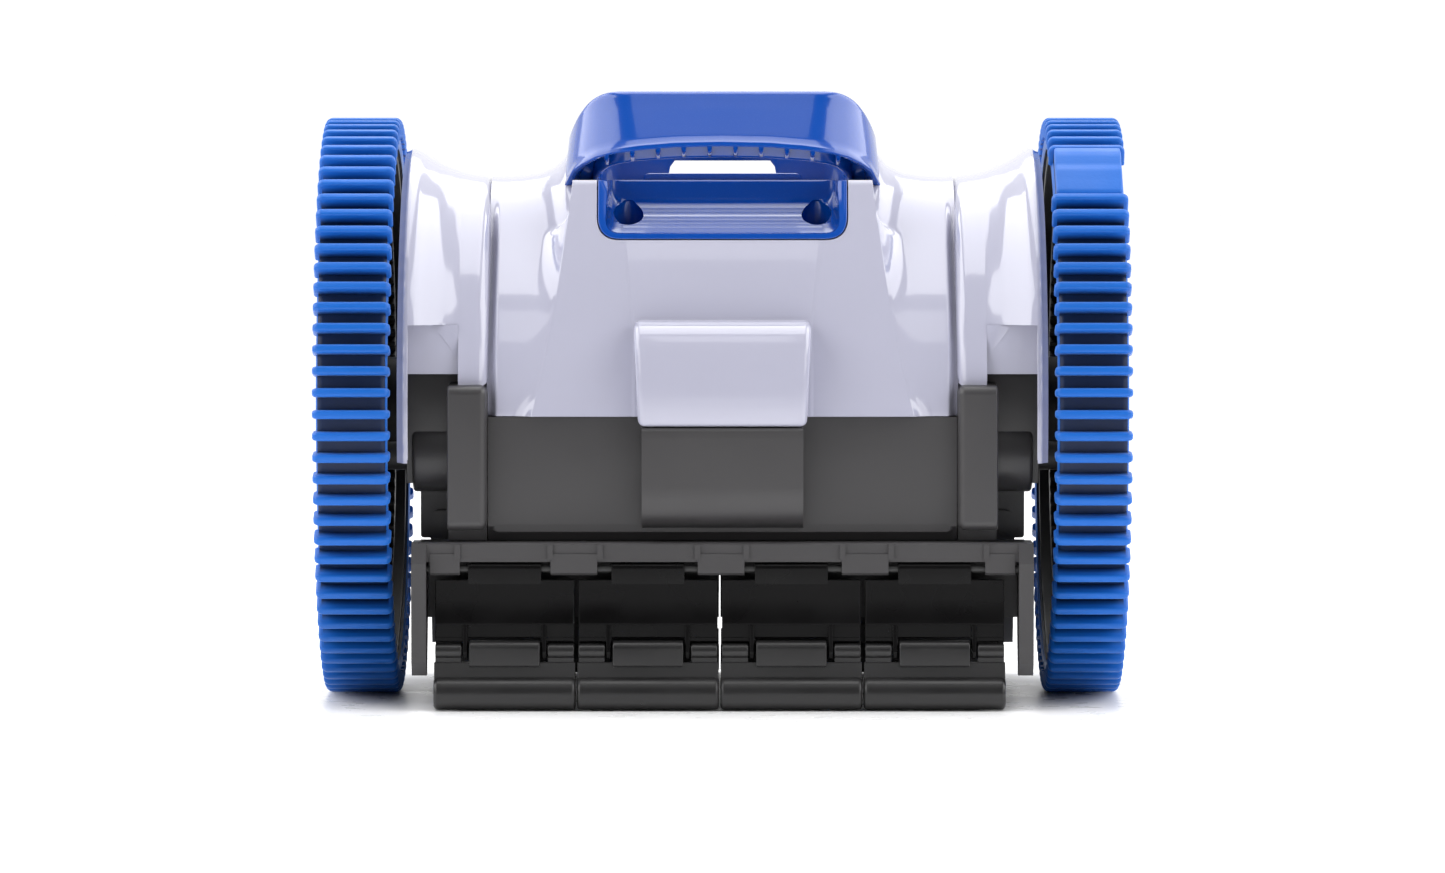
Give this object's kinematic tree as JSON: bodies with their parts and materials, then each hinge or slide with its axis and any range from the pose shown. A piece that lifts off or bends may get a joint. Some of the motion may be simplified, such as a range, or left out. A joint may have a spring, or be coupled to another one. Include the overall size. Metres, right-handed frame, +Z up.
{
  "type": "two-wheel suction pool cleaner",
  "caption": "Suction-side pool cleaner: ribbed blue wheels, white shell, blue carry handle, vaned water turbine and hinged black flap skirts.",
  "frame": {"origin": "centre of the footprint on the floor, under the middle of the axle line", "axes": "+X along the axle line towards the right wheel as seen from the front, -Y towards the front flaps, +Z up"},
  "size_m": [0.344, 0.25, 0.261],
  "materials": {
    "white_shell": "gloss",
    "blue_handle": "gloss",
    "blue_rubber": "matte",
    "black_body": "satin",
    "grey_swivel": "satin",
    "gear_plastic": "satin",
    "blue_vane": "satin",
    "steel": "satin",
    "float_foam": "matte"
  },
  "bodies": {
    "base": {"top_cover": "white_shell", "carry_handle": "blue_handle", "handle_basin": "blue_handle", "swivel_retainer": "black_body", "lower_body": "black_body", "chamber_top": "black_body", "throat_plate": "black_body", "float_block": "float_foam", "shaft_bearings": "gear_plastic", "gear_case_left": "black_body", "gear_case_right": "black_body", "gear_case_cover_left": "black_body", "gear_case_cover_right": "black_body", "stub_axle_left": "steel", "stub_axle_right": "steel", "front_flap_carrier": "black_body", "rear_flap_carrier": "black_body", "hinge_rods": "steel", "body_screws": "steel", "axle_screws": "steel"},
    "wheel_left": {"wheel_hub_left": "black_body", "tyre_left": "blue_rubber", "wheel_bushing_left": "gear_plastic", "hubcap_left": "black_body"},
    "wheel_right": {"wheel_hub_right": "black_body", "tyre_right": "blue_rubber", "wheel_bushing_right": "gear_plastic", "hubcap_right": "black_body"},
    "drive_left": {"drive_gear_left": "gear_plastic"},
    "reduction_left": {"reduction_gear_left": "gear_plastic"},
    "drive_right": {"drive_gear_right": "gear_plastic"},
    "reduction_right": {"reduction_gear_right": "gear_plastic"},
    "turbine": {"rotor_hub": "grey_swivel", "rotor_shaft": "steel", "turbine_pinion_left": "gear_plastic", "turbine_pinion_right": "gear_plastic"},
    "swivel": {"hose_swivel": "grey_swivel"},
    "vane_1": {"rotor_vane_1": "blue_vane"},
    "vane_2": {"rotor_vane_2": "blue_vane"},
    "vane_3": {"rotor_vane_3": "blue_vane"},
    "vane_4": {"rotor_vane_4": "blue_vane"},
    "vane_5": {"rotor_vane_5": "blue_vane"},
    "vane_6": {"rotor_vane_6": "blue_vane"},
    "front_upper_1": {"front_upper_flap_1": "black_body"},
    "front_lower_1": {"front_lower_flap_1": "black_body"},
    "front_upper_2": {"front_upper_flap_2": "black_body"},
    "front_lower_2": {"front_lower_flap_2": "black_body"},
    "front_upper_3": {"front_upper_flap_3": "black_body"},
    "front_lower_3": {"front_lower_flap_3": "black_body"},
    "front_upper_4": {"front_upper_flap_4": "black_body"},
    "front_lower_4": {"front_lower_flap_4": "black_body"},
    "rear_upper_1": {"rear_upper_flap_1": "black_body"},
    "rear_lower_1": {"rear_lower_flap_1": "black_body"},
    "rear_upper_2": {"rear_upper_flap_2": "black_body"},
    "rear_lower_2": {"rear_lower_flap_2": "black_body"},
    "rear_upper_3": {"rear_upper_flap_3": "black_body"},
    "rear_lower_3": {"rear_lower_flap_3": "black_body"},
    "rear_upper_4": {"rear_upper_flap_4": "black_body"},
    "rear_lower_4": {"rear_lower_flap_4": "black_body"}
  },
  "joints": [
    {"name": "wheel_left_joint", "type": "hinge", "parent": "base", "child": "wheel_left", "pos_m": [-0.155, 0, 0.125], "axis": [1, 0, 0], "continuous": true},
    {"name": "wheel_right_joint", "type": "hinge", "parent": "base", "child": "wheel_right", "pos_m": [0.155, 0, 0.125], "axis": [1, 0, 0], "continuous": true},
    {"name": "drive_left_joint", "type": "hinge", "parent": "base", "child": "drive_left", "pos_m": [-0.125, -0.07771, 0.106], "axis": [1, 0, 0], "continuous": true},
    {"name": "reduction_left_joint", "type": "hinge", "parent": "base", "child": "reduction_left", "pos_m": [-0.108, -0.041, 0.10142], "axis": [1, 0, 0], "continuous": true},
    {"name": "drive_right_joint", "type": "hinge", "parent": "base", "child": "drive_right", "pos_m": [0.125, -0.07771, 0.106], "axis": [1, 0, 0], "continuous": true},
    {"name": "reduction_right_joint", "type": "hinge", "parent": "base", "child": "reduction_right", "pos_m": [0.108, -0.041, 0.10142], "axis": [1, 0, 0], "continuous": true},
    {"name": "turbine_joint", "type": "hinge", "parent": "base", "child": "turbine", "pos_m": [0, 0, 0.102], "axis": [1, 0, 0], "continuous": true},
    {"name": "swivel_joint", "type": "hinge", "parent": "base", "child": "swivel", "pos_m": [0, 0.004, 0.2], "axis": [0, 0, 1], "continuous": true},
    {"name": "vane_1_joint", "type": "hinge", "parent": "turbine", "child": "vane_1", "pos_m": [0, 0, 0.119], "axis": [1, 0, 0], "range_deg": [0, 35]},
    {"name": "vane_2_joint", "type": "hinge", "parent": "turbine", "child": "vane_2", "pos_m": [0, -0.01472, 0.1105], "axis": [1, 0, 0], "range_deg": [0, 35]},
    {"name": "vane_3_joint", "type": "hinge", "parent": "turbine", "child": "vane_3", "pos_m": [0, -0.01472, 0.0935], "axis": [1, 0, 0], "range_deg": [0, 35]},
    {"name": "vane_4_joint", "type": "hinge", "parent": "turbine", "child": "vane_4", "pos_m": [0, 0, 0.085], "axis": [1, 0, 0], "range_deg": [0, 35]},
    {"name": "vane_5_joint", "type": "hinge", "parent": "turbine", "child": "vane_5", "pos_m": [0, 0.01472, 0.0935], "axis": [1, 0, 0], "range_deg": [0, 35]},
    {"name": "vane_6_joint", "type": "hinge", "parent": "turbine", "child": "vane_6", "pos_m": [0, 0.01472, 0.1105], "axis": [1, 0, 0], "range_deg": [0, 35]},
    {"name": "front_upper_1_joint", "type": "hinge", "parent": "base", "child": "front_upper_1", "pos_m": [-0.09165, -0.11, 0.0596], "axis": [1, 0, 0], "range_deg": [-25, 35]},
    {"name": "front_lower_1_joint", "type": "hinge", "parent": "front_upper_1", "child": "front_lower_1", "pos_m": [-0.09165, -0.111, 0.025], "axis": [1, 0, 0], "range_deg": [-25, 25]},
    {"name": "front_upper_2_joint", "type": "hinge", "parent": "base", "child": "front_upper_2", "pos_m": [-0.03135, -0.11, 0.0596], "axis": [1, 0, 0], "range_deg": [-25, 35]},
    {"name": "front_lower_2_joint", "type": "hinge", "parent": "front_upper_2", "child": "front_lower_2", "pos_m": [-0.03135, -0.111, 0.025], "axis": [1, 0, 0], "range_deg": [-25, 25]},
    {"name": "front_upper_3_joint", "type": "hinge", "parent": "base", "child": "front_upper_3", "pos_m": [0.02895, -0.11, 0.0596], "axis": [1, 0, 0], "range_deg": [-25, 35]},
    {"name": "front_lower_3_joint", "type": "hinge", "parent": "front_upper_3", "child": "front_lower_3", "pos_m": [0.02895, -0.111, 0.025], "axis": [1, 0, 0], "range_deg": [-25, 25]},
    {"name": "front_upper_4_joint", "type": "hinge", "parent": "base", "child": "front_upper_4", "pos_m": [0.08925, -0.11, 0.0596], "axis": [1, 0, 0], "range_deg": [-25, 35]},
    {"name": "front_lower_4_joint", "type": "hinge", "parent": "front_upper_4", "child": "front_lower_4", "pos_m": [0.08925, -0.111, 0.025], "axis": [1, 0, 0], "range_deg": [-25, 25]},
    {"name": "rear_upper_1_joint", "type": "hinge", "parent": "base", "child": "rear_upper_1", "pos_m": [-0.09165, 0.11, 0.0596], "axis": [1, 0, 0], "range_deg": [-35, 25]},
    {"name": "rear_lower_1_joint", "type": "hinge", "parent": "rear_upper_1", "child": "rear_lower_1", "pos_m": [-0.09165, 0.111, 0.025], "axis": [1, 0, 0], "range_deg": [-25, 25]},
    {"name": "rear_upper_2_joint", "type": "hinge", "parent": "base", "child": "rear_upper_2", "pos_m": [-0.03135, 0.11, 0.0596], "axis": [1, 0, 0], "range_deg": [-35, 25]},
    {"name": "rear_lower_2_joint", "type": "hinge", "parent": "rear_upper_2", "child": "rear_lower_2", "pos_m": [-0.03135, 0.111, 0.025], "axis": [1, 0, 0], "range_deg": [-25, 25]},
    {"name": "rear_upper_3_joint", "type": "hinge", "parent": "base", "child": "rear_upper_3", "pos_m": [0.02895, 0.11, 0.0596], "axis": [1, 0, 0], "range_deg": [-35, 25]},
    {"name": "rear_lower_3_joint", "type": "hinge", "parent": "rear_upper_3", "child": "rear_lower_3", "pos_m": [0.02895, 0.111, 0.025], "axis": [1, 0, 0], "range_deg": [-25, 25]},
    {"name": "rear_upper_4_joint", "type": "hinge", "parent": "base", "child": "rear_upper_4", "pos_m": [0.08925, 0.11, 0.0596], "axis": [1, 0, 0], "range_deg": [-35, 25]},
    {"name": "rear_lower_4_joint", "type": "hinge", "parent": "rear_upper_4", "child": "rear_lower_4", "pos_m": [0.08925, 0.111, 0.025], "axis": [1, 0, 0], "range_deg": [-25, 25]}
  ],
  "couplings": [
    {"joint": "wheel_right_joint", "follows": "wheel_left_joint", "ratio": 1},
    {"joint": "drive_left_joint", "follows": "wheel_left_joint", "ratio": 7.6667},
    {"joint": "reduction_left_joint", "follows": "wheel_left_joint", "ratio": -20.7},
    {"joint": "drive_right_joint", "follows": "wheel_left_joint", "ratio": 7.6667},
    {"joint": "reduction_right_joint", "follows": "wheel_left_joint", "ratio": -20.7},
    {"joint": "turbine_joint", "follows": "wheel_left_joint", "ratio": 85.388}
  ]
}
